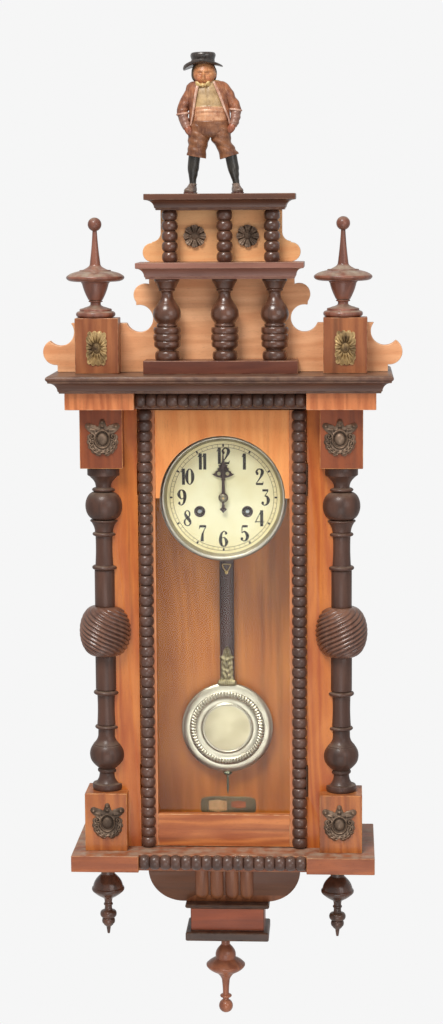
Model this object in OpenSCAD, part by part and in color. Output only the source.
// Wall regulator clock with a glazed door, turned columns, a carved crest and a striking movement.
// X runs to the viewer's right, Y runs back to the wall and Z runs up. The wall is the plane Y = 0.

/* [Case] */
// Width of the base board and across the two cornice blocks
case_w = 400; // [392:1:430]
// Depth of the base board from the wall to its front
base_d = 170; // [168:1:185]
// Thickness of the base board
base_t = 22; // [21:0.5:28]
// Height of the square blocks below and above each column
block_h = 78; // [60:1:90]
// Width of the square blocks below and above each column
block_w = 56; // [50:1:58]
// Height of a turned column between its two blocks
column_h = 433; // [420:1:470]
// Largest radius of a column's foot and head
column_r = 24.8; // [22:0.1:26]
// Distance of a column's axis from the middle of the case
column_x = 155.5; // [154:0.5:160]
// Distance of a column's axis from the wall
column_y = 117; // [115:0.5:120]
// Outer width of the glazed box behind the columns
box_w = 300; // [298:1:304]
// Distance of the front stiles' face from the wall
front_y = 122; // [120:0.5:124]
// Thickness of the side boards
side_t = 12; // [8:0.5:14]
// Thickness of the back board
back_t = 12; // [10:0.5:14]
// Thickness of the front stiles
stile_t = 16; // [12:0.5:18]
// Height of the blocks under the cornice
frieze_h = 22; // [20:0.5:30]
// Depth of the blocks under the cornice
frieze_d = 165; // [160:1:168]
// Thickness of the side windows
side_glass_t = 2; // [1.5:0.5:3]

/* [Door] */
// Width of the door
door_w = 218.8; // [214:0.2:219]
// Thickness of the door frame
door_t = 18; // [16:0.5:19]
// Gap between the door and the fixed frame round it
door_gap = 1.2; // [1:0.1:1.6]
// Width of the glass opening
opening_w = 176; // [172:1:180]
// Height of the bottom rail
door_rail_h = 44; // [30:1:60]
// Radius of the arch cut in the top panel
arch_r = 82; // [80:0.5:84]
// Thickness of the arched top panel
panel_t = 9; // [6:0.5:10]
// Thickness of the door glass
door_glass_t = 2.5; // [2:0.5:3]
// Radius of the turned beads
bead_r = 9.6; // [8:0.1:9.8]
// Number of beads on each door stile
door_bead_count = 43; // [36:1:48]
// Number of beads on the short strips above and below the door
short_bead_count = 16; // [13:1:18]
// Radius of a hinge knuckle
knuckle_r = 1.9; // [1.6:0.1:2]
// Radius of a hinge pin
hinge_pin_r = 0.9; // [0.7:0.05:1]
// Length of a hinge
hinge_l = 42; // [30:1:60]

/* [Cornice and crest] */
// Height of the cornice moulding
cornice_h = 23; // [20:0.5:28]
// Width of the cornice moulding at its nose
cornice_w = 443.6; // [438:1:460]
// Depth of the cornice moulding at its nose
cornice_d = 188; // [186:1:200]
// Distance of the crest board's front from the wall
crest_y = 108; // [104:1:110]
// Thickness of the crest boards
crest_t = 15; // [12:0.5:18]
// Height of the square crest blocks
crest_block_h = 71.7; // [70:0.1:73]
// Width of the square crest blocks
crest_block_w = 56.5; // [54:0.5:58]
// Distance of the crest blocks' middle from the middle of the clock
crest_block_x = 160.3; // [159:0.1:162]
// Height of an urn finial
urn_h = 128.7; // [110:0.1:150]
// Radius of an urn finial's brim
urn_r = 37.7; // [34:0.1:40]
// Height of the plinth under the balusters
plinth_h = 17; // [14:0.5:20]
// Height of a baluster
baluster_h = 104.7; // [98:0.1:112]
// Radius of a baluster at its widest
baluster_r = 18.2; // [16:0.1:19]
// Spacing between neighbouring balusters
baluster_pitch = 69.5; // [64:0.5:74]
// How far the middle turnings stand right of the centre
middle_shift = 5; // [0:0.5:6]
// Height of the shelf on the balusters
shelf_h = 21; // [18:0.5:24]
// Width of the shelf on the balusters
shelf_w = 215; // [205:1:225]
// Height of the upper board
upper_h = 66.5; // [60:0.5:76]
// Radius of the beaded spindles
spindle_r = 10.5; // [8:0.1:11.5]
// Height of the top cornice
top_h = 20.7; // [18:0.1:24]
// Width of the top cornice
top_w = 193.2; // [185:0.1:205]
// Depth of the top cornice
top_d = 60; // [54:0.5:66]
// Height of the carved figure
figure_h = 178; // [150:1:190]

/* [Console and drops] */
// Width of the console under the base board
console_w = 208; // [200:1:220]
// Height of the console
console_h = 77; // [70:1:90]
// Depth of the console from the wall
console_d = 54; // [50:0.5:58]
// Depth of the console at its lower edge
console_low_d = 46; // [40:0.5:50]
// How far the console and the centre drop stand right of the centre
console_shift = -4; // [-6:0.5:6]
// Width of the block below the console
drop_w = 101; // [94:1:106]
// Height of the block below the console
drop_h = 31.5; // [24:0.5:36]
// Depth of the block below the console
drop_d = 56; // [52:0.5:60]
// Height of a side drop finial
side_drop_h = 102.2; // [90:0.1:115]
// Height of the centre drop finial
centre_drop_h = 113.5; // [100:0.1:130]

/* [Dial and hands] */
// Distance of the dial's centre below the top of the case
dial_drop = 122; // [119:0.5:127]
// Outer radius of the dial's bezel
bezel_r = 82.5; // [80:0.5:84]
// Radius of the dial plate
dial_r = 80; // [78.5:0.5:81]
// Distance of the dial's face from the wall
dial_y = 92.2; // [91.8:0.1:92.6]
// Length of the minute hand from its axis
minute_l = 65; // [58:0.5:68]
// Length of the hour hand from its axis
hour_l = 51; // [40:0.5:54]

/* [Pendulum] */
// Distance from the bending point of the spring down to the middle of the bob
pendulum_l = 365; // [350:1:370]
// Distance of the pendulum's middle plane from the wall
pendulum_y = 23.5; // [22.5:0.5:24]
// Radius of the bob
bob_r = 60; // [50:0.5:66]
// Thickness of the bob
bob_t = 14; // [10:0.5:15]
// Width of the wooden rod
rod_w = 17.2; // [14:0.2:18]
// Thickness of the wooden rod
rod_t = 6; // [4:0.5:6.5]
// Radius of the thread on which the rating nut turns
rating_r = 1.6; // [1.2:0.1:2]

/* [Movement] */
// Width of the movement plates
plate_w = 112; // [108:1:120]
// Height of the movement plates above the dial's centre
plate_up = 50; // [48:1:54]
// Height of the movement plates below the dial's centre
plate_down = 48; // [47:1:52]
// Thickness of the movement plates
plate_t = 2; // [1.5:0.1:2.5]
// Distance of the back plate's rear face from the wall
plate_y = 36; // [35.5:0.5:37]
// Clear distance between the movement plates
plate_gap = 40; // [39:0.5:41]
// Distance of a winding arbor from the middle of the dial, sideways
winding_x = 31.5; // [31:0.1:32]
// Distance of a winding arbor below the middle of the dial
winding_drop = 18.7; // [18.2:0.1:19.2]
// Radius of a winding arbor
winding_r = 2.5; // [2.2:0.1:2.8]
// Radius of a spring barrel
barrel_r = 17; // [14:0.5:17.5]
// Radius of the train's arbors
arbor_r = 1; // [0.8:0.05:1.2]
// Gap between a turning shaft and its hole
running_gap = 0.05; // [0.02:0.01:0.09]
// Module of the great wheels' teeth
great_m = 0.62; // [0.6:0.01:0.63]
// Radius of the gong's outer turn
gong_r = 44; // [38:0.5:46]
// Radius of the gong wire
gong_wire_r = 1.25; // [1:0.05:1.4]
// Turns in the gong
gong_turns = 4; // [3:1:5]

/* [Hanging] */
// Distance of the hanging hole below the top of the back board
hang_drop = 25; // [22:1:40]
// Radius of the hanging hole
hang_r = 5; // [4:0.5:6]
// Width of the slot above the hanging hole
hang_slot_w = 4; // [3:0.5:5]
// Thickness of the hanger plate
hanger_t = 2; // [1.5:0.5:3]

/* [Hidden] */
$fn = 64;
eps = 0.01;
seat = 0.3;

// Heights of the case, measured from the top of the base board
z_column = block_h;
z_block_top = block_h + column_h;
z_frieze = z_block_top + block_h;
z_cornice = z_frieze + frieze_h;
z_crest = z_cornice + cornice_h;
z_baluster = z_crest + plinth_h;
z_shelf = z_baluster + baluster_h;
z_upper = z_shelf + shelf_h;
z_top = z_upper + upper_h;
z_figure = z_top + top_h;
z_hang = z_frieze - hang_drop;
dial_z = z_frieze - dial_drop;

// Places across and along the case
box_x = box_w / 2;
door_x = door_w / 2;
frame_x = door_x + door_gap;
opening_x = opening_w / 2;
bead_x = opening_x + (door_x - opening_x) / 2 - 0.5;
bead_recess = 10;
door_z = 1;
door_top = z_frieze - 3.5;
door_h = door_top - door_z;
panel_z = dial_z + 2;
panel_y = front_y - 2;
glass_y = panel_y - panel_t;
hinge_x = door_x + door_gap / 2;
hinge_y = front_y + knuckle_r + 0.1;
hinge_leaf_t = 0.9;
hinge_leaf_d = 14;
hinge_zs = [door_z + 70, door_top - 70 - hinge_l];
window_z = [90, z_frieze - 89];
window_y = [32, front_y - stile_t - 16];
window_lap = 6;

// Crest
crest_x = 215.6;
lobe_r = 16.8;
lobe_at = [217.5, 26];
shoulder_z = 63.8;
hollow_r = 18.2;
hollow_at = [211.5, 52.5];
bite_r = 17.7;
bite_at = [107.3, 69.6];
ear_r = 14.5;
ear_at = [100.3, 100.3];
centre_x = 94.4;
plinth_w = 199;
plinth_y = crest_y + 40;
baluster_y = plinth_y - baluster_r - 1.5;
crest_block_d = 32;
urn_y = crest_y + 9;
urn_xs = [-crest_block_x - 3, crest_block_x - 3];
turning_xs = [-baluster_pitch, middle_shift, baluster_pitch];
spindle_xs = [-baluster_pitch + 4, middle_shift, baluster_pitch - 3.5];
spindle_y = crest_y + spindle_r + 5;
shelf_over = 12;
top_over = 14;

// Console and drops
z_console = -base_t - console_h;
console_low_w = 113;
nosing_w = 115.5;
nosing_h = 7;
drop_board_w = 114;
drop_board_h = 12.5;
drop_board_d = drop_d + 10;
z_drop = z_console - nosing_h;
z_drop_board = z_drop - drop_h;
z_drop_end = z_drop_board - drop_board_h;
drop_finial_y = 30;
side_drop_y = 112;
side_drop_xs = [-column_x - 2, column_x - 4.5];

// Movement: wheels in the train, as places beside the dial's centre
back_face = plate_y + plate_t;
front_face = back_face + plate_gap;
front_outer = front_face + plate_t;
great_n = 84;
pinion_n = 12;
second_n = 60;
second_m = 0.55;
centre_n = 80;
centre_m = 0.42;
leaf_n = 8;
third_n = 75;
third_m = 0.38;
pin_n = 60;
pin_m = 0.45;
escape_n = 32;
escape_r = 11.5;
cannon_n = 12;
minute_n = 36;
minute_m = 0.5;
change_n = 10;
hour_n = 40;
change_m = 0.48;
great_d = (great_n + pinion_n) * great_m / 2;
second_d = (second_n + pinion_n) * second_m / 2;
third_d = (centre_n + leaf_n) * centre_m / 2;
escape_d = (third_n + leaf_n) * third_m / 2;
fly_d = (pin_n + leaf_n) * pin_m / 2;
change_d = (cannon_n + minute_n) * minute_m / 2;
time_at = [winding_x, -winding_drop];
strike_at = [-winding_x, -winding_drop];
escape_at = [0, 21];
anchor_at = [0, 39];
second_at = meet([0, 0], second_d, time_at, great_d, -1);
third_at = meet([0, 0], third_d, escape_at, escape_d, -1);
pin_at = strike_at + great_d * [0.32, sqrt(1 - 0.32 * 0.32)];
fly_at = pin_at + fly_d * [cos(124), sin(124)];
hammer_at = [-45, 10];
hammer_head = [-0.5, -30];
change_at = change_d * [cos(225), sin(225)];
z_flex = dial_z + anchor_at[1];
z_bob = z_flex - pendulum_l;
great_y = back_face + 3;
second_y = front_face - 7;
centre_y = back_face + 18;
third_y = back_face + 10;
escape_y = back_face + 14;
pin_y = front_face - 10;
cannon_y = front_outer + 1;
change_y = cannon_y + 4;
cannon_r = 2;
pipe_r = 3;
hour_y = dial_y + 2.4;
minute_y = hour_y + 3.2;
gong_y = back_t + 4;
shown_minute = 0.5;

// The part's origin is the middle of the hanging hole, on the wall.
module on_wall() {
    translate([0, 0, -z_hang]) children();
}

// A copy on each side of the middle.
module both_sides() {
    for (side = [0, 1]) mirror([side, 0, 0]) children();
}

// A box given by its lowest and highest corners.
module block(low, high) {
    translate(low) cube(high - low);
}

// An outline drawn in the X-Z plane, as a board whose back is y_back from the wall.
module board(y_back, thickness) {
    translate([0, -y_back, 0]) rotate([90, 0, 0]) linear_extrude(thickness) children();
}

// A turned piece from its outline of [radius, height] points.
module turned(outline) {
    rotate_extrude() polygon(distinct(outline));
}

// The same piece with its axis along Y, its zero height y_back from the wall and its top in front.
module turned_forward(at, y_back, outline) {
    translate([at[0], -y_back, at[1]]) rotate([90, 0, 0]) turned(outline);
}

function distinct(p) = [for (i = [0:len(p) - 1]) if (i == 0 || norm(p[i] - p[max(i - 1, 0)]) > 0.001) p[i]];

// Heights scaled, radii kept.
function stretched(p, k) = [for (q = p) [q[0], q[1] * k]];

// A smooth run of a turned outline from one radius and height to another, swollen or hollowed.
function run(z0, r0, z1, r1, swell, n = 7) =
    [for (i = [0:n]) [r0 + (r1 - r0) * i / n + swell * sin(180 * i / n), z0 + (z1 - z0) * i / n]];

// A raised ring round a turning.
function ring(z, w, r0, r, n = 5) =
    [for (i = [0:n]) [r0 + (r - r0) * sin(180 * i / n), z - w / 2 * cos(180 * i / n)]];

// Part of a ball on a turning, from one angle to another, both measured from its lowest point.
function ball(z, r, low, high, n = 9) =
    [for (i = [0:n]) let (a = low + (high - low) * i / n) [max(r * sin(a), 0), z - r * cos(a)]];

// The place at given distances from two others, on the side that the last argument chooses.
function meet(a, ra, b, rb, side) =
    let (d = norm(b - a), u = (b - a) / d, along = (ra * ra - rb * rb + d * d) / (2 * d),
         off = sqrt(ra * ra - along * along))
    a + along * u - side * off * [u[1], -u[0]];

function bearing(a, b) = atan2(b[1] - a[1], b[0] - a[0]);

// Side boards, stiles and everything behind them, which the columns are notched around.
module corner_notch() {
    block([0, -front_y, -1], [box_x, 0, z_cornice]);
}

module back_board() {
    on_wall() color("#b98852") difference() {
        block([-box_x, -back_t, 0], [box_x, 0, z_frieze]);
        block([-30, -hanger_t, z_hang - 22], [30, 1, z_hang + 22]);
        translate([0, 1, z_hang + 3]) rotate([90, 0, 0]) cylinder(h = back_t - 1, r = 14);
    }
}

module hanger_plate() {
    on_wall() color("#8a8378") board(0, hanger_t) translate([0, z_hang]) difference() {
        square([60, 44], center = true);
        circle(hang_r);
        translate([-hang_slot_w / 2, 0]) square([hang_slot_w, 13]);
        for (x = [-23, 23]) translate([x, 0]) circle(2);
    }
}

module case_sides() {
    on_wall() color("#b5743f") both_sides() difference() {
        block([box_x - side_t, -front_y + stile_t, 0], [box_x, -back_t, z_frieze]);
        block([box_x - side_t - 1, -window_y[1], window_z[0]], [box_x + 1, -window_y[0], window_z[1]]);
    }
}

module side_glasses() {
    on_wall() color("#dfe8e4", 0.4) both_sides()
        block([box_x - side_t - side_glass_t, -window_y[1] - window_lap, window_z[0] - window_lap],
              [box_x - side_t, -window_y[0] + window_lap, window_z[1] + window_lap]);
}

module case_top_board() {
    on_wall() color("#a8693a")
        block([-frame_x, -front_y - 26, z_frieze], [frame_x, 0, z_cornice]);
}

module base_board() {
    on_wall() color("#a9683a") difference() {
        block([-case_w / 2, -base_d, -base_t], [case_w / 2, 0, 0]);
        block([-frame_x, -base_d - 1, -base_t - 1], [frame_x, -base_d + bead_recess, 1]);
    }
}

module front_stiles() {
    on_wall() color("#c07b42") both_sides() difference() {
        block([frame_x, -front_y, 0], [box_x, -front_y + stile_t, z_frieze]);
        for (z = hinge_zs)
            block([frame_x - 1, -front_y - 1, z], [frame_x + hinge_leaf_t, -front_y + hinge_leaf_d, z + hinge_l]);
    }
}

// Half of a turned row of beads, lying flat on the plane Y = 0 and facing the front.
module half_bead_rod(count, pitch) {
    rotate([0, 0, 180]) rotate_extrude(angle = 180) bead_outline(count, pitch, bead_r);
}

module bead_outline(count, pitch, r) {
    bead_arc = pitch * 0.86;
    intersection() {
        square([r + 1, count * pitch]);
        union() {
            square([r - bead_arc * 0.22, count * pitch]);
            for (i = [0:count - 1]) translate([r - bead_arc, (i + 0.5) * pitch]) circle(bead_arc);
        }
    }
}

module bead_mouldings() {
    pitch = (2 * frame_x - 1) / short_bead_count;
    on_wall() color("#3d2a24") {
        translate([-frame_x + 0.5, -base_d + bead_recess, -bead_r - 0.4]) rotate([0, 90, 0])
            half_bead_rod(short_bead_count, pitch);
        translate([-frame_x + 0.5, -front_y - 26, z_cornice - bead_r - 0.6]) rotate([0, 90, 0])
            half_bead_rod(short_bead_count, pitch);
    }
}

module frieze_blocks() {
    on_wall() color("#a4562f") both_sides()
        block([frame_x, -frieze_d, z_frieze], [case_w / 2, 0, z_cornice]);
}

// Profile of a moulding as [inset from the nose, height], with a hollow under a rounded nose.
function cornice_edge(over, h) = concat(
    [[over, 0], [over, h * 0.1]],
    [for (a = [0:15:90]) [over * (0.17 + 0.74 * cos(a)), h * (0.11 + 0.5 * sin(a))]],
    [[over * 0.17, h * 0.68]],
    [for (a = [60:-30:-60]) [over * 0.3 * (1 - cos(a)), h * (0.85 - 0.17 * sin(a))]]);

// Profile with a hollow under a flat band.
function shelf_edge(over, h, band) = concat(
    [[over, 0], [over, h * 0.12]],
    [for (a = [0:15:90]) [over * (0.1 + 0.8 * cos(a)), h * 0.12 + (h * 0.86 - band) * sin(a)]],
    [[0, h - band], [0, h]]);

// A slab with the same moulding mitred round its front and both ends.
module moulded_slab(w, d, edge) {
    h = edge[len(edge) - 1][1];
    intersection() {
        translate([-w / 2 - 2, 0, 0]) rotate([90, 0, 90]) linear_extrude(w + 4)
            polygon(concat([[0, 0]], [for (e = edge) [e[0] - d, e[1]]], [[0, h]]));
        translate([0, 2, 0]) rotate([90, 0, 0]) linear_extrude(d + 4)
            polygon(concat([for (e = edge) [w / 2 - e[0], e[1]]],
                           [for (i = [len(edge) - 1:-1:0]) [edge[i][0] - w / 2, edge[i][1]]]));
    }
}

module cornice_moulding() {
    on_wall() color("#4f352d") translate([0, 0, z_cornice])
        moulded_slab(cornice_w, cornice_d, cornice_edge(15.6, cornice_h));
}

module column_blocks() {
    on_wall() color("#c0733c") both_sides() difference() {
        for (z = [0, z_block_top])
            block([column_x - block_w / 2, -column_y - block_w / 2, z],
                  [column_x + block_w / 2, -column_y + block_w / 2, z + block_h]);
        corner_notch();
    }
}

// A dome on the front of a pressed piece, its rim y_back from the wall.
module dome(at, y_back, r, h) {
    turned_forward(at, y_back, concat([[0, 0], [r, 0]], [for (a = [0:15:90]) [r * cos(a), h * sin(a)]]));
}

// A pressed shield: a field with two volutes and a pointed top, a boss in a ring and a garland below it.
module shield() {
    volute = [18, 14.5];
    board(0, 1.2) union() {
        scale_hull([0, 1], 14.6, [0, -9.5], 10);
        for (side = [-1, 1]) {
            translate([side * volute[0], volute[1]]) circle(4.6);
            translate([side * 11.6, 11]) circle(5.4);
            translate([side * 14, -5.5]) circle(4.2);
            translate([side * 10, -13]) circle(5.2);
        }
        translate([0, -17.4]) circle(4);
        translate([0, 15.6]) circle(5.6);
        translate([0, 21.6]) circle(4.2);
        translate([0, 25.2]) circle(1.6);
    }
    board(1.2, 1.2) difference() {
        circle(12.2);
        circle(10);
    }
    dome([0, 0], 1.2, 8.4, 3.6);
    dome([0, 21], 1.2, 3.4, 3);
    for (side = [-1, 1]) dome([side * volute[0], volute[1]], 1.2, 3.8, 2.6);
    for (a = [-150:30:-30]) dome([14.8 * cos(a), 14.8 * sin(a) - 0.6], 1.2, 2.8, 1.8);
}

module scale_hull(a, ra, b, rb) {
    hull() {
        translate(a) circle(ra);
        translate(b) circle(rb);
    }
}

module block_shields() {
    on_wall() color("#50463c") both_sides() for (z = [block_h / 2, z_block_top + block_h / 2])
        translate([column_x - 2, -column_y - block_w / 2, z]) shield();
}

// Outline of a column below and above its spiral knop.
knop_span = [0.419, 0.572];
knop_low = knop_span[0] * column_h;
knop_high = knop_span[1] * column_h;
knop_r = 34.7;

function column_foot() = concat(
    [[0, 0], [19, 0]], ring(4.4, 8.4, 19.2, 20.2, 4), run(9, 15.6, 22.6, 10.8, -1.4, 5),
    ring(26, 5, 11.4, 13.2, 4),
    run(29, 11.8, 47.8, 23.3, 3.2), run(48.2, 23.3, 60.4, 19.2, 1.1, 5), [[18.3, 61]],
    run(61.6, 18.6, 73, 12, -1.4, 5),
    ring(85, 5, 11.8, 15.9), run(88.5, 13, 127, 12.4, -0.6, 3), ring(131.7, 6, 12.6, 17.2),
    [[14.3, 136], [14.3, 433 * knop_span[0]], [0, 433 * knop_span[0]]]);

function column_head() = concat(
    [[0, 433 * knop_span[1]], [13.9, 433 * knop_span[1]], [13.9, 296]], ring(299.6, 6, 12.6, 17),
    run(303.5, 12.6, 340, 12, -0.5, 3), ring(344, 5, 12, 16), [[12.8, 347.4], [13.6, 361]],
    ring(380, 37, 13.6, 24.8, 10), ring(402.4, 4.6, 11.8, 14, 4), run(406, 10.8, 421, 19.5, -2.4),
    [[21.7, 422], [21.7, 433], [0, 433]]);

module column_shafts() {
    drawn_h = 433;
    drawn_r = 24.8;
    k = [column_r / drawn_r, column_h / drawn_h];
    on_wall() color("#46261e") both_sides() difference() {
        translate([column_x, -column_y, z_column]) {
            turned([for (q = column_foot()) [q[0] * k[0], q[1] * k[1]]]);
            turned([for (q = column_head()) [q[0] * k[0], q[1] * k[1]]]);
        }
        corner_notch();
    }
}

// A bulb whose ridges wind round it. Seen from the front they rise to the right for hand = 1 and to the left for -1.
module spiral_bulb(h, r_end, r_max, ridges, twist, hand) {
    levels = 16;
    around = ridges * 4;
    ridge = [1, 0.97, 0.91, 0.97];
    points = [for (j = [0:levels]) let (t = (1 - cos(180 * j / levels)) / 2, swell = sin(180 * j / levels))
        for (i = [0:around - 1]) let (a = i * 360 / around + hand * twist * t,
            q = (r_end + (r_max - r_end) * swell) * (1 - (1 - ridge[i % 4]) * swell))
        [q * cos(a), q * sin(a), h * t]];
    low = [for (i = [0:around - 1]) i];
    high = [for (i = [around - 1:-1:0]) levels * around + i];
    walls = [for (j = [0:levels - 1]) for (i = [0:around - 1]) let (k = (i + 1) % around)
        [j * around + i, (j + 1) * around + i, (j + 1) * around + k, j * around + k]];
    polyhedron(points, concat([low], [high], walls), convexity = 4);
}

module spiral_knops() {
    ridges = 15;
    twist = 250;
    on_wall() color("#4a2a20") for (hand = [-1, 1]) difference() {
        translate([hand * column_x, -column_y, z_column + knop_low])
            spiral_bulb(knop_high - knop_low, 15, knop_r, ridges, twist, hand);
        mirror([hand < 0 ? 1 : 0, 0, 0]) corner_notch();
    }
}

module console_outline(inset) {
    corner = (console_w - console_low_w) / 2;
    difference() {
        translate([-console_w / 2 + inset, inset]) square([console_w - 2 * inset, console_h]);
        for (side = [-1, 1]) translate([side * console_w / 2, 0]) difference() {
            square(2 * (corner - inset), center = true);
            translate([-side * (corner - inset) - side * inset, corner]) circle(corner - inset);
        }
    }
}

// Distance of the console's face from the wall at a height over its lower edge, where it curves back.
function console_face(z) = console_d - (console_d - console_low_d) * pow(1 - z / console_h, 3);

module console_side() {
    steps = 8;
    rotate([90, 0, 90]) linear_extrude(console_w + 2, center = true)
        polygon(concat([[0, 0], [0, console_h]], [for (i = [steps:-1:0]) let (z = console_h * i / steps) [-console_face(z), z]]));
}

// A half round reed that follows the console's face, blunt at its foot.
module reed(x, half, rise, foot) {
    sunk = 3;
    arc = 8;
    around = arc + 3;
    heights = concat([for (a = [15:15:90]) half * (1 - cos(a))],
        [for (j = [1:6]) half + (console_h - foot - half) * j / 6]);
    points = [for (h = heights) let (k = h < half ? sqrt(h * (2 * half - h)) / half : 1, y = -console_face(foot + h))
        for (i = [-1:arc + 1]) let (a = 180 * min(max(i, 0), arc) / arc, back = (i < 0 || i > arc) ? sunk : 0)
        [x - half * k * cos(a), y + back - rise * k * sin(a), foot + h]];
    last = len(heights) - 1;
    low = [for (i = [0:around - 1]) i];
    high = [for (i = [around - 1:-1:0]) last * around + i];
    walls = [for (j = [0:last - 1]) for (i = [0:around - 1]) let (k = (i + 1) % around)
        [j * around + i, (j + 1) * around + i, (j + 1) * around + k, j * around + k]];
    polyhedron(points, concat([low], [high], walls), convexity = 2);
}

module console() {
    wall = 10;
    reed_pitch = 20.6;
    reed_half = 9;
    reed_rise = 5;
    reed_end = 3;
    on_wall() color("#a5632f") translate([console_shift, 0, z_console]) {
        difference() {
            intersection() {
                board(0, console_d) console_outline(0);
                console_side();
            }
            translate([0, 1, 0]) board(0, console_low_d - wall + 1)
                translate([-console_low_w / 2 + 6, wall]) square([console_low_w - 12, console_h - 2 * wall]);
        }
        for (i = [-1.5, -0.5, 0.5, 1.5]) reed(i * reed_pitch, reed_half, reed_rise, reed_end);
    }
}

module drop_console() {
    on_wall() {
        color("#3f2a22") translate([0, 0, z_drop])
            moulded_slab(nosing_w, drop_d + 4, concat([for (a = [-90:30:90]) [3.5 - 3.5 * cos(a), 3.5 + 3.5 * sin(a)]]));
        color("#8a4a28") block([-drop_w / 2, -drop_d, z_drop_board], [drop_w / 2, 0, z_drop]);
        color("#4f2e22") translate([0, 0, z_drop_end])
            moulded_slab(drop_board_w, drop_board_d, [[1.5, 0], [0, 1.5], [0, drop_board_h - 1.5], [1.5, drop_board_h]]);
    }
}

// Outlines of the hanging finials, from the tip up to the face that they hang from.
function side_drop() = concat(
    [[0, 0], [1.4, 0]], run(0.6, 1.7, 9.6, 3, 0, 2), run(10, 3.6, 14, 7, 0.5, 3), ring(18, 7.4, 7.4, 8.8),
    [[7.6, 22.2]],
    ring(27.6, 9.6, 8, 11.2, 6), [[5.4, 33.4], [4.9, 36.4]], ring(39.6, 3.4, 5, 6.3, 4),
    [[5, 42.4], [5.4, 44.6]],
    run(45.4, 6.2, 54.8, 21, 1.2, 5), ring(57.6, 4.4, 21, 22.2, 4), [[20, 60.6]], run(61.4, 20.2, 80, 7.9, 3.6),
    [[7.7, 102.2], [0, 102.2]]);

function centre_drop() = concat(
    ball(9.7, 9.7, 0, 154), [[4.2, 19.4], [4.2, 21.4]], ring(24, 4.6, 4.6, 8.2), [[4.3, 27.2]],
    run(28, 4.2, 48, 5.6, -0.3, 3),
    run(48.6, 5.9, 56, 10.8, -0.6, 4), [[11.6, 56.6], [11.6, 58]], run(58.4, 14, 66, 25.4, 1.2, 5),
    [[26.9, 68.2], [26.9, 70]],
    run(70.6, 26.2, 78.4, 15, 1.2, 4), [[13.9, 79]], run(79.4, 13.9, 98, 6.2, 3),
    [[6, 99], [6, 113.5], [0, 113.5]]);

module drop_finials() {
    on_wall() color("#45271e") {
        for (x = side_drop_xs) translate([x, -side_drop_y, -base_t - side_drop_h])
            turned(stretched(side_drop(), side_drop_h / 102.2));
        translate([console_shift, -drop_finial_y, z_drop_end - centre_drop_h])
            turned(stretched(centre_drop(), centre_drop_h / 113.5));
    }
}

module crest_outline() {
    h = z_shelf - z_crest;
    difference() {
        union() {
            translate([-crest_x, 0]) square([2 * crest_x, 45]);
            translate([-200, 0]) square([400, shoulder_z]);
            translate([-111.5, 0]) square([223, 91.5]);
            translate([-centre_x, 0]) square([2 * centre_x, h]);
            for (side = [-1, 1]) {
                translate([side * lobe_at[0], lobe_at[1]]) circle(lobe_r);
                translate([side * ear_at[0], ear_at[1]]) circle(ear_r);
            }
        }
        for (side = [-1, 1]) {
            translate([side * hollow_at[0], hollow_at[1]]) circle(hollow_r);
            translate([side * bite_at[0], bite_at[1]]) circle(bite_r);
            translate([side * 119, bite_at[1] - 8 + bite_r]) square([15, 16], center = true);
        }
    }
}

module crest_board() {
    on_wall() color("#c98a55") translate([0, 0, z_crest]) board(crest_y - crest_t, crest_t) crest_outline();
}

module crest_blocks() {
    on_wall() color("#b9713b") both_sides()
        block([crest_block_x - crest_block_w / 2, -crest_y - crest_block_d, z_crest],
              [crest_block_x + crest_block_w / 2, -crest_y, z_crest + crest_block_h]);
}

// A pressed daisy on a round or an upright rectangular ground.
module daisy(r, petals) {
    board(0, 1.6) union() {
        circle(r * 0.5);
        for (i = [0:petals - 1]) rotate(i * 360 / petals) translate([r * 0.68, 0]) circle(r * 0.3);
    }
    dome([0, 0], 1.6, r * 0.42, r * 0.22);
}

module crest_rosettes() {
    on_wall() color("#574a3c") {
        for (x = [-34.3, 34.3]) translate([x, -crest_y, z_upper + 33]) daisy(14.6, 8);
        both_sides() translate([crest_block_x, -crest_y - crest_block_d, z_crest + 33]) {
            board(0, 1) square([27, 45], center = true);
            translate([0, -1, 0]) daisy(13, 10);
            for (z = [-18.5, 18.5]) translate([0, -1, z]) board(0, 1.2) union() {
                scale_hull([-8, 0], 3, [8, 0], 3);
                circle(3.9);
            }
        }
    }
}

function urn() = concat(
    [[0, 0], [21.5, 0]], ring(4.2, 7.6, 21.8, 25.7), [[20.9, 8.4], [20.9, 11], [15.6, 12.4]],
    run(12.8, 15.2, 15.6, 7.6, -1.2, 4),
    [[6.8, 16.4], [6.8, 19.4]], ring(21, 2.6, 7.2, 9.4, 4), run(22.6, 9.2, 44, 17.4, 0.9),
    [[18.4, 44.4], [18.4, 45.8]],
    run(46, 21, 50, 36.4, 1.2, 4), [[37.7, 51.2], [37.4, 52.4]], run(53, 36.2, 59.4, 22.4, 0.9, 5),
    [[20.4, 59.8], [20.4, 61.2]],
    run(61.6, 16, 70, 6.8, -2.8), run(70.6, 6.7, 111.2, 2.9, -0.4, 5), ball(119.8, 8.9, 18, 180));

module urn_finials() {
    k = urn_r / 37.7;
    on_wall() color("#4b2d23") for (x = urn_xs) translate([x, -urn_y, z_crest + crest_block_h])
        turned([for (q = urn()) [q[0] * k, q[1] * urn_h / 128.7]]);
}

module crest_plinth() {
    on_wall() color("#4a2c22")
        block([-plinth_w / 2, -plinth_y, z_crest], [plinth_w / 2, -crest_y, z_baluster]);
}

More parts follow.
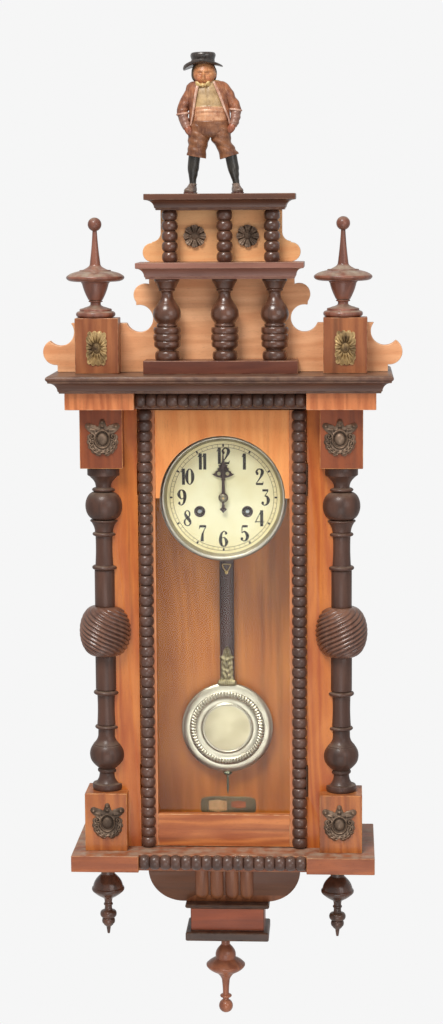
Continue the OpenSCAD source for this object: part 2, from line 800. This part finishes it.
function baluster() = concat(
    [[0, 0], [14.6, 0]], ring(5.8, 11, 14.2, 16.2), [[11.6, 12.4]], run(13.2, 11.4, 16.6, 15.6, -0.4, 3),
    ring(20.8, 7.4, 16.2, 17.4),
    ring(29.3, 8.8, 16.4, 18.2), ring(38.4, 8.4, 16.2, 17.8), [[13.2, 42.8]], ring(45, 3.6, 12.6, 13.9, 4),
    run(47.4, 12.6, 60.8, 18.2, 1.9), run(61.2, 18.1, 73, 12.6, 1.1, 5), run(73.4, 12.4, 85, 7.6, -1.1, 5),
    run(85.6, 7.7, 88.6, 9, -0.2, 2), ring(90.2, 2.8, 9.6, 11, 4), run(92.2, 11.3, 101, 15.6, -0.3, 3),
    [[16.2, 101.6], [16.2, 104.7], [0, 104.7]]);

module crest_turnings() {
    on_wall() color("#3c211b") {
        for (x = turning_xs) translate([x, -baluster_y, z_baluster])
            turned([for (q = baluster()) [q[0] * baluster_r / 18.2, q[1] * baluster_h / 104.7]]);
        for (x = spindle_xs) translate([x, -spindle_y, z_upper])
            rotate_extrude() bead_outline(5, upper_h / 5, spindle_r);
    }
}

module crest_shelf() {
    on_wall() color("#43281f") translate([0, -crest_y + crest_t, z_shelf])
        moulded_slab(shelf_w, plinth_y + shelf_over + 2 - crest_y + crest_t, shelf_edge(shelf_over, shelf_h, 7));
}

module crest_upper_board() {
    on_wall() color("#c78650") translate([0, 0, z_upper]) board(crest_y - crest_t, crest_t) difference() {
        union() {
            translate([-78.6, 0]) square([157.2, upper_h]);
            translate([-90, 0]) square([180, 38]);
            for (side = [-1, 1]) translate([side * 90, 12.3]) circle(12.3);
        }
        for (side = [-1, 1]) translate([side * 90.6, 38]) circle(12);
    }
}

module top_cornice() {
    on_wall() color("#45291f") translate([0, -crest_y + crest_t, z_top])
        moulded_slab(top_w, top_d, shelf_edge(top_over, top_h, 7.4));
}

module limb(a, b, ra, rb) {
    hull() {
        translate(a) sphere(ra, $fn = 14);
        translate(b) sphere(rb, $fn = 14);
    }
}

// The carved figure stands with its hands in its pockets, in a tall hat and an open coat.
module carved_figure() {
    k = figure_h / 178;
    on_wall() color("#5b3a26") translate([-12, -crest_y - 14, z_figure]) scale(k) {
        for (side = [-1, 1]) {
            foot = [side < 0 ? -26 : 31, -3, 0];
            knee = [side < 0 ? -16 : 19, -2, 44];
            hull() {
                translate(foot) cylinder(h = 7, r = 6.5, $fn = 14);
                translate(foot + [side * 3, -10, 0]) cylinder(h = 5, r = 5.5, $fn = 14);
            }
            limb(foot + [0, 1, 9], knee, 5.8, 8);
            limb(knee + [0, 0, 2], [side * 9, 0, 74], 10.5, 11.5);
            limb([side * 17, 0, 122], [side * 34, 1, 96], 7, 6.5);
            limb([side * 34, 1, 96], [side * 19, -7, 80], 6.4, 5.8);
            hull() {
                translate([side * 12, 1, 120]) sphere(9, $fn = 14);
                translate([side * 17, 2, 84]) sphere(9, $fn = 14);
            }
        }
        hull() {
            translate([0, 0, 118]) sphere(13, $fn = 16);
            translate([0, -1, 82]) sphere(14.5, $fn = 16);
        }
        hull() {
            translate([-5, -2, 143]) sphere(12.4, $fn = 18);
            translate([-4, -3, 134]) sphere(9, $fn = 18);
        }
        translate([-4, -1, 124]) cylinder(h = 10, r = 7, $fn = 18);
        translate([-6, -1, 152]) rotate([0, -5, 0]) {
            cylinder(h = 3, r = 22, $fn = 28);
            cylinder(h = 25, r1 = 12, r2 = 14.5, $fn = 28);
        }
    }
}

module beat_scale() {
    on_wall() color("#cfc29a") board(back_t, 1.5) translate([0, 27.5]) difference() {
        hull() for (x = [-35, 35], z = [-9.5, 9.5]) translate([x, z]) circle(3.2);
        for (x = [-31, 31]) translate([x, 0]) circle(1.4);
    }
}

module hinge_case_leaves() {
    third = hinge_l / 3;
    on_wall() color("#a88b4e") for (z = hinge_zs) {
        difference() {
            union() {
                block([frame_x, -hinge_y, z], [frame_x + hinge_leaf_t, -front_y + hinge_leaf_d, z + hinge_l]);
                for (part = [0, 2]) translate([hinge_x, -hinge_y, z + part * third]) cylinder(h = third, r = knuckle_r);
            }
            translate([hinge_x, -hinge_y, z + third]) cylinder(h = third, r = knuckle_r + 0.15);
        }
        translate([hinge_x, -hinge_y, z + third / 2]) cylinder(h = 2 * third, r = hinge_pin_r);
    }
}

module hinge_door_leaves() {
    third = hinge_l / 3;
    on_wall() color("#a88b4e") for (z = hinge_zs) difference() {
        union() {
            block([door_x - hinge_leaf_t, -hinge_y, z], [door_x, -front_y + hinge_leaf_d, z + hinge_l]);
            translate([hinge_x, -hinge_y, z + third + 0.2]) cylinder(h = third - 0.4, r = knuckle_r);
        }
        for (part = [0, 2]) translate([hinge_x, -hinge_y, z + part * third - 0.2])
            cylinder(h = third + 0.4, r = knuckle_r + 0.15);
        translate([hinge_x, -hinge_y, z - 1]) cylinder(h = hinge_l + 2, r = hinge_pin_r + running_gap);
    }
}

// Two straps on the back board, with four posts that carry the movement.
module movement_bracket() {
    on_wall() color("#3a3a3c") translate([0, 0, dial_z]) both_sides() {
        block([plate_w / 2 - 12, -back_t - 3, -plate_down - 8], [plate_w / 2, -back_t, plate_up + 8]);
        for (z = [6 - plate_down, plate_up - 6]) translate([plate_w / 2 - 6, -back_t - 3, z])
            rotate([90, 0, 0]) cylinder(h = plate_y - back_t - 3, r = 4);
    }
}

// A flat coil of round wire that ends in a block on the back board.
module gong() {
    centre = [0, dial_z - 8];
    steps = 20;
    sides = 6;
    inner_r = 14;
    pitch = (gong_r - inner_r) / gong_turns;
    echo(least_gap_between_gong_turns = pitch - 2 * gong_wire_r);
    points = [for (k = [0:gong_turns * steps]) let (a = k * 360 / steps, r = inner_r + pitch * k / steps)
        for (s = [0:sides - 1]) let (b = s * 360 / sides, q = r + gong_wire_r * cos(b))
        [q * cos(a), gong_wire_r * sin(b), q * sin(a)]];
    last = gong_turns * steps * sides;
    caps = [[for (s = [0:sides - 1]) s], [for (s = [sides - 1:-1:0]) last + s]];
    walls = [for (k = [0:gong_turns * steps - 1]) for (s = [0:sides - 1]) let (t = (s + 1) % sides)
        for (face = [[k * sides + s, (k + 1) * sides + s, (k + 1) * sides + t],
                     [k * sides + s, (k + 1) * sides + t, k * sides + t]]) face];
    on_wall() {
        color("#5d6a78") translate([centre[0], -gong_y - gong_wire_r, centre[1]])
            polyhedron(points, concat(caps, walls), convexity = 8);
        color("#3a3a3c") block([inner_r - 3, -gong_y - 2 * gong_wire_r - 0.8, centre[1] - 10],
                               [inner_r + 3, -back_t, centre[1]]);
    }
}

// The turning arbors' holes: place, radius.
pivot_holes = [
    [[0, 0], 1.2], [second_at, arbor_r], [third_at, arbor_r], [escape_at, arbor_r], [anchor_at, arbor_r],
    [pin_at, arbor_r], [fly_at, arbor_r], [hammer_at, arbor_r], [time_at, winding_r], [strike_at, winding_r]
];
pillar_at = [[plate_w / 2 - 5, plate_up - 5], [plate_w / 2 - 5, 5 - plate_down],
             [5 - plate_w / 2, plate_up - 5], [5 - plate_w / 2, 5 - plate_down]];

module movement_plates() {
    on_wall() color("#b99a55") translate([0, 0, dial_z]) {
        for (y = [plate_y, front_face]) board(y, plate_t) difference() {
            translate([-plate_w / 2, -plate_down]) square([plate_w, plate_up + plate_down]);
            for (hole = pivot_holes) translate(hole[0]) circle(hole[1] + running_gap);
        }
        for (at = pillar_at) translate([at[0], -back_face, at[1]]) rotate([90, 0, 0])
            cylinder(h = plate_gap, r = 3.5);
        translate([change_at[0], -front_outer, change_at[1]]) rotate([90, 0, 0])
            cylinder(h = dial_y - 2.4 - front_outer, r = arbor_r);
    }
}

// The cock holds the top of the suspension spring in a slot.
module suspension_cock() {
    on_wall() color("#b99a55") translate([0, 0, z_flex]) difference() {
        block([-5, -plate_y, 4], [5, -pendulum_y + 6, 11]);
        block([-0.7, -pendulum_y - 5, 3], [0.7, -pendulum_y + 5, 9]);
    }
}

module dial() {
    back = dial_y - 1.2;
    on_wall() color("#f4ecd0") translate([0, 0, dial_z]) {
        board(back, 1.2) difference() {
            circle(dial_r);
            circle(4.2);
            for (side = [-1, 1]) translate([side * winding_x, -winding_drop]) circle(5.7);
        }
        for (a = [45:90:315]) translate([52 * cos(a), -front_outer, 52 * sin(a)]) rotate([90, 0, 0])
            cylinder(h = back - front_outer, r = 2);
    }
}

module dial_bezel() {
    lip = dial_r + 0.3;
    on_wall() color("#c9c6bb") {
        turned_forward([0, dial_z], dial_y - 2, concat(
            [[lip, 0], [bezel_r, 0], [bezel_r, 5.5]],
            [for (a = [0:15:90]) [bezel_r - 4.5 + 4.5 * cos(a), 5.5 + 4 * sin(a)]],
            run(9, bezel_r - 5.5, 3.4, bezel_r - 9, -0.6, 5), [[bezel_r - 9, 2], [lip, 2]]));
        both_sides() turned_forward([winding_x, dial_z - winding_drop], dial_y,
            [[5.2, 0], [7.4, 0], [7.2, 0.5], [6.4, 0.9], [5.2, 0.6]]);
    }
}

module door_stiles() {
    on_wall() color("#a9683a") both_sides() difference() {
        block([opening_x, -front_y, door_z], [door_x, -front_y + door_t, door_top]);
        block([opening_x - 1, -glass_y, door_z + door_rail_h - window_lap], [opening_x + window_lap, -glass_y + 12, door_top + 1]);
        for (z = hinge_zs)
            block([door_x - hinge_leaf_t, -front_y - 1, z], [door_x + 1, -front_y + hinge_leaf_d, z + hinge_l]);
    }
}

module door_top_panel() {
    on_wall() color("#c07a40") board(glass_y, panel_t) difference() {
        translate([-opening_x, panel_z]) square([opening_w, door_top - panel_z]);
        translate([0, panel_z]) circle(arch_r);
    }
}

module door_bottom_rail() {
    on_wall() color("#b06c38") difference() {
        block([-opening_x, -front_y, door_z], [opening_x, -front_y + door_t, door_z + door_rail_h]);
        block([-opening_x - 1, -glass_y, door_z + door_rail_h - window_lap],
              [opening_x + 1, -glass_y + 12, door_z + door_rail_h + 1]);
    }
}

module door_glass() {
    lap = window_lap - 0.5;
    on_wall() color("#dfe8e4", 0.3)
        block([-opening_x - lap, -glass_y, door_z + door_rail_h - lap],
              [opening_x + lap, -glass_y + door_glass_t, door_top]);
}

module door_beads() {
    on_wall() color("#3d2a24") both_sides() translate([bead_x, -front_y, door_z])
        half_bead_rod(door_bead_count, door_h / door_bead_count);
}

// A wheel's outline. A tooth stands on the bearing first.
module wheel_outline(n, m, first, thick = 0.4) {
    r = n * m / 2;
    pitch = 360 / n;
    polygon([for (i = [0:n - 1]) for (q = [[-0.3, -1.15], [-0.5 * thick, 0], [-0.1, 0.8], [0.1, 0.8], [0.5 * thick, 0], [0.3, -1.15]])
        let (a = first + (i + q[0]) * pitch, s = r + q[1] * m) [s * cos(a), s * sin(a)]]);
}

// A wheel with spokes, its rear face y_back from the wall.
module spoked_wheel(n, m, first, y_back, t, hub_r, spokes) {
    r = n * m / 2;
    board(y_back, t) difference() {
        wheel_outline(n, m, first);
        difference() {
            circle(r - 1.15 * m - 1.8);
            circle(hub_r);
            for (i = [0:spokes - 1]) rotate(i * 360 / spokes + first) translate([0, -0.9]) square([r, 1.8]);
        }
    }
}

// A pinion: fewer and thicker leaves, its rear end y_back from the wall.
module pinion(n, m, first, y_back, length) {
    board(y_back, length) wheel_outline(n, m, first, 0.34);
}

module shaft(y_back, y_front, r) {
    translate([0, -y_back, 0]) rotate([90, 0, 0]) cylinder(h = y_front - y_back, r = r);
}

module on_arbor(at) {
    on_wall() translate([at[0], 0, dial_z + at[1]]) children();
}

// The bearing of the tooth that a driven wheel turns towards its driver.
function gap_at(n, bearing_to_driver) = bearing_to_driver + 180 / n;

module centre_wheel() {
    on_arbor([0, 0]) color("#c2a25a") {
        spoked_wheel(centre_n, centre_m, bearing([0, 0], third_at), centre_y, 1.4, 4, 4);
        pinion(pinion_n, second_m, gap_at(pinion_n, bearing([0, 0], second_at)), second_y - 1, 4);
        pinion(cannon_n, minute_m, bearing([0, 0], change_at), cannon_y, 3);
        shaft(plate_y - 1, minute_y + 3.5, 1.2);
        shaft(cannon_y, minute_y - 1.4, cannon_r);
    }
}

module second_wheel() {
    on_arbor(second_at) color("#c2a25a") {
        spoked_wheel(second_n, second_m, bearing(second_at, [0, 0]), second_y, 1.6, 4.2, 4);
        pinion(pinion_n, great_m, gap_at(pinion_n, bearing(second_at, time_at)), great_y - 1, 4);
        shaft(plate_y - 0.5, front_outer + 0.5, arbor_r);
    }
}

module third_wheel() {
    on_arbor(third_at) color("#c2a25a") {
        spoked_wheel(third_n, third_m, bearing(third_at, escape_at), third_y, 1.2, 3.2, 4);
        pinion(leaf_n, centre_m, gap_at(leaf_n, bearing(third_at, [0, 0])), centre_y - 1, 3.4);
        shaft(plate_y - 0.5, front_outer + 0.5, arbor_r);
    }
}

// The escape wheel's teeth lean forward, with a radial front and a curved back.
module escape_wheel() {
    pitch = 360 / escape_n;
    on_arbor(escape_at) color("#c2a25a") {
        board(escape_y, 1) difference() {
            polygon([for (i = [0:escape_n - 1]) for (q = [[0, 1], [0.16, 0.97], [0.5, 0.84], [0.78, 0.8], [0.86, 0.84]])
                let (a = -(i + q[0]) * pitch) escape_r * q[1] * [cos(a), sin(a)]]);
            difference() {
                circle(escape_r * 0.66);
                circle(2.4);
                for (i = [0:3]) rotate(90 * i) translate([0, -0.6]) square([escape_r, 1.2]);
            }
        }
        pinion(leaf_n, third_m, gap_at(leaf_n, bearing(escape_at, third_at)), third_y - 1, 3.2);
        shaft(plate_y - 0.5, front_outer + 0.5, arbor_r);
    }
}

// A strip anchor whose pallets stand clear of the escape wheel's tips, and its crutch.
module pallet_anchor() {
    reach = anchor_at[1] - escape_at[1];
    clear_r = escape_r + 1;
    spread = 50;
    on_arbor(anchor_at) color("#8c9098") {
        board(escape_y - 0.5, 2) {
            difference() {
                translate([0, -reach]) difference() {
                    circle(clear_r + 2.6);
                    circle(clear_r);
                }
                translate([0, -reach]) rotate(90 + spread) square(60);
                translate([0, -reach]) mirror([1, 0]) rotate(90 + spread) square(60);
                translate([-30, -60 - reach]) square([60, 60 + clear_r * cos(spread + 4)]);
            }
            translate([-1.6, clear_r - reach + 0.4]) square([3.2, reach - clear_r]);
            circle(3);
        }
        shaft(plate_y - 5, front_outer + 0.5, arbor_r);
        board(plate_y - 5, 1.4) union() {
            circle(2.6);
            translate([-1.2, -44]) square([2.4, 44]);
            translate([-rod_w / 2 - 3, -46]) square([rod_w + 6, 3]);
        }
        for (side = [-1, 1]) translate([side * (rod_w / 2 + 1.6), 0, -44.5])
            shaft(pendulum_y - 4, plate_y - 5, 1);
    }
}

module barrel(at, driven) {
    on_arbor(at) color("#c2a25a") difference() {
        union() {
            board(great_y, 2) wheel_outline(great_n, great_m, bearing(at, driven));
            shaft(great_y + 2, great_y + 25, barrel_r);
            shaft(great_y + 23.4, great_y + 25, barrel_r + 0.8);
        }
        shaft(great_y - 1, great_y + 30, winding_r + 1 + running_gap);
    }
}

module time_barrel() {
    barrel(time_at, second_at);
}

module strike_barrel() {
    barrel(strike_at, pin_at);
}

// A winding arbor: a thick shaft through the barrel, two pivots and a square for the key.
module winding_arbor(at) {
    on_arbor(at) color("#9a9ca0") {
        shaft(plate_y - 0.5, dial_y - 3, winding_r);
        shaft(back_face + 0.3, front_face - 0.3, winding_r + 1);
        translate([-1.7, -dial_y - 1.5, -1.7]) cube([3.4, 4.6, 3.4]);
    }
}

module time_winding_arbor() {
    winding_arbor(time_at);
}

module strike_winding_arbor() {
    winding_arbor(strike_at);
}

// The strike train's wheel, whose pins lift the hammer.
module pin_wheel() {
    on_arbor(pin_at) color("#c2a25a") {
        spoked_wheel(pin_n, pin_m, bearing(pin_at, fly_at), pin_y, 1.4, 4, 4);
        for (i = [0:7]) rotate([0, 45 * i, 0]) translate([10.7, 0, 0]) shaft(pin_y - 4, pin_y, 0.6);
        pinion(pinion_n, great_m, gap_at(pinion_n, bearing(pin_at, strike_at)), great_y - 1, 4);
        shaft(plate_y - 0.5, front_outer + 0.5, arbor_r);
    }
}

module fly() {
    on_arbor(fly_at) color("#c2a25a") {
        pinion(leaf_n, pin_m, gap_at(leaf_n, bearing(fly_at, pin_at)), pin_y - 1, 3.4);
        shaft(plate_y - 0.5, front_outer + 0.5, arbor_r);
        block([-8, -pin_y + 6, -0.3], [8, -pin_y + 20, 0.3]);
    }
}

// The hammer's arbor, its lifting tail between the plates and its arm behind them.
module hammer() {
    tail = norm(pin_at - hammer_at) - 12.4;
    swing = bearing(hammer_at, pin_at);
    on_arbor(hammer_at) color("#8c9098") {
        shaft(plate_y - 7, front_outer + 0.5, arbor_r);
        rotate([0, -swing, 0]) block([0, -pin_y + 0.8, -0.8], [tail, -pin_y + 3, 0.8]);
        shaft(pin_y - 3.4, pin_y - 0.4, 2);
        board(plate_y - 6.4, 1.4) scale_hull([0, 0], 1.8, hammer_head, 1.4);
        translate([hammer_head[0], 0, hammer_head[1]]) shaft(back_t + 3.6, plate_y - 4.4, 4.4);
    }
}

module minute_wheel() {
    on_arbor(change_at) color("#c2a25a") difference() {
        union() {
            board(cannon_y + 0.8, 1.4) wheel_outline(minute_n, minute_m, gap_at(minute_n, bearing(change_at, [0, 0])));
            pinion(change_n, change_m, bearing(change_at, [0, 0]), cannon_y + 2.2, 4);
        }
        shaft(cannon_y, dial_y, arbor_r + running_gap);
    }
}

module hour_wheel() {
    on_arbor([0, 0]) color("#c2a25a") difference() {
        union() {
            board(change_y, 1.4) wheel_outline(hour_n, change_m, gap_at(hour_n, bearing([0, 0], change_at)));
            shaft(change_y, hour_y + 0.8, pipe_r);
        }
        shaft(change_y - 1, hour_y + 3, cannon_r + running_gap);
    }
}

// A blade that narrows along its length, as an outline from the axis upwards.
module blade(l0, w0, l1, w1) {
    polygon([[-w0 / 2, l0], [w0 / 2, l0], [w1 / 2, l1], [-w1 / 2, l1]]);
}

// A ring cut from two circles, as in pierced hands.
module eyelet(at, r, wire) {
    translate(at) difference() {
        circle(r);
        circle(r - wire);
    }
}

module minute_hand() {
    on_arbor([0, 0]) color("#4a3a3c") rotate([0, 6 * shown_minute, 0]) {
        board(minute_y, 0.8) difference() {
            union() {
                circle(5);
                blade(3, 3.4, 18, 2.2);
                blade(18, 2.2, 44, 1.6);
                blade(44, 5.4, minute_l - 9, 2);
                blade(minute_l - 9, 2, minute_l, 0.5);
                for (side = [-1, 1]) {
                    eyelet([side * 2.2, 22], 2.6, 0.8);
                    eyelet([side * 1.9, 27.4], 2.1, 0.7);
                    translate([side * 1.7, 43.4]) circle(1.9);
                }
                blade(-12, 3.4, 0, 2.4);
                translate([0, -11.4]) circle(2.6);
            }
            circle(1.25);
        }
        difference() {
            shaft(minute_y + 0.8, minute_y + 2.8, 3.6);
            shaft(minute_y, minute_y + 5, 1.25);
        }
    }
}

module hour_hand() {
    on_arbor([0, 0]) color("#4a3a3c") rotate([0, shown_minute / 2, 0]) board(hour_y, 0.8) difference() {
        union() {
            circle(6.4);
            blade(4, 4.4, 16, 2.6);
            blade(16, 2.6, 34, 2);
            for (side = [-1, 1]) {
                eyelet([side * 3.4, 19], 3.9, 1);
                eyelet([side * 6.3, 27.4], 4.6, 1.1);
                eyelet([side * 2.9, 34.5], 3.5, 1);
            }
            blade(32, 7.4, hour_l - 7, 3.2);
            blade(hour_l - 7, 3.2, hour_l, 0.5);
        }
        circle(pipe_r + 0.02);
    }
}

// The wooden rod hangs behind the bob and ends in the thread of the rating nut.
module pendulum_rod() {
    rod_end = z_bob - bob_r + 6;
    front = pendulum_y + rod_t / 2;
    plate_low = z_bob + bob_r + 1;
    on_wall() {
        color("#4c2c20") difference() {
            block([-rod_w / 2, -front, rod_end], [rod_w / 2, rod_t - front, z_flex - 6]);
            block([-0.4, -front - 1, z_flex - 12], [0.4, rod_t - front + 1, z_flex - 5]);
        }
        color("#a9a79c") block([-0.12, -pendulum_y - 4, z_flex - 12], [0.12, -pendulum_y + 4, z_flex + 8]);
        color("#a88c50") {
            board(front, 2) difference() {
                union() {
                    translate([-8.5, plate_low]) square([17, 53]);
                    translate([0, plate_low + 53]) circle(6);
                    for (side = [-1, 1]) translate([side * 8, plate_low + 5]) circle(5);
                }
                for (side = [-1, 1], z = [19, 33, 47]) translate([side * 11, plate_low + z]) circle(4);
            }
            translate([0, -pendulum_y, rod_end - 34]) cylinder(h = 34, r = rating_r);
            translate([0, -pendulum_y, rod_end - 40]) cylinder(h = 6, r1 = 0.6, r2 = rating_r);
        }
    }
}

// A pressed lens bob, open at the back where the rod passes and resting on the rating nut.
module pendulum_bob() {
    h = bob_t;
    k = bob_r / 60;
    back = pendulum_y - rod_t / 2 - 1;
    face = concat(
        [[0, 0], [52, 0], [57, h * 0.3], [60, h * 0.42]], run(h * 0.46, 59.6, h * 0.74, 53.4, 0.8, 4),
        [[51.4, h * 0.72]], ring(h * 0.72, 1.6, 49, 51, 3), [[46.6, h * 0.76]],
        run(h * 0.82, 44, h * 0.86, 39, 0.4, 4), [[37, h * 0.74], [33.6, h * 0.74], [32.4, h * 0.8]],
        run(h * 0.82, 31, h, 0, 2, 7));
    on_wall() color("#b9ab85") difference() {
        turned_forward([0, z_bob], back, [for (q = face) [q[0] * k, q[1]]]);
        block([-rod_w / 2 - 0.3, -back - rod_t - 1.3, z_bob - bob_r + 4],
              [rod_w / 2 + 0.3, 1, z_bob + bob_r + 1]);
        translate([0, -pendulum_y, z_bob - bob_r - 1]) cylinder(h = 6, r = rating_r + 0.3);
        block([-rating_r - 0.3, -pendulum_y, z_bob - bob_r - 1], [rating_r + 0.3, 1, z_bob - bob_r + 5]);
    }
}

module rating_nut() {
    on_wall() color("#a88c50") translate([0, -pendulum_y, z_bob - bob_r - 7.1]) difference() {
        turned(concat([[0, 0], [3, 0]], run(0.4, 4, 6.4, 4, 2.2, 5), [[3, 6.8], [0, 6.8]]));
        translate([0, 0, -1]) cylinder(h = 10, r = rating_r + running_gap);
    }
}

back_board();
hanger_plate();
case_sides();
side_glasses();
case_top_board();
base_board();
front_stiles();
bead_mouldings();
frieze_blocks();
cornice_moulding();
column_blocks();
block_shields();
column_shafts();
spiral_knops();
console();
drop_console();
drop_finials();
crest_board();
crest_blocks();
crest_rosettes();
urn_finials();
crest_plinth();
crest_turnings();
crest_shelf();
crest_upper_board();
top_cornice();
carved_figure();
beat_scale();
hinge_case_leaves();
movement_bracket();
gong();
movement_plates();
suspension_cock();
dial();
dial_bezel();
door_stiles();
door_top_panel();
door_bottom_rail();
door_glass();
door_beads();
hinge_door_leaves();
minute_hand();
centre_wheel();
hour_hand();
hour_wheel();
minute_wheel();
second_wheel();
time_barrel();
third_wheel();
escape_wheel();
pallet_anchor();
pendulum_rod();
pendulum_bob();
rating_nut();
strike_barrel();
pin_wheel();
fly();
hammer();
time_winding_arbor();
strike_winding_arbor();
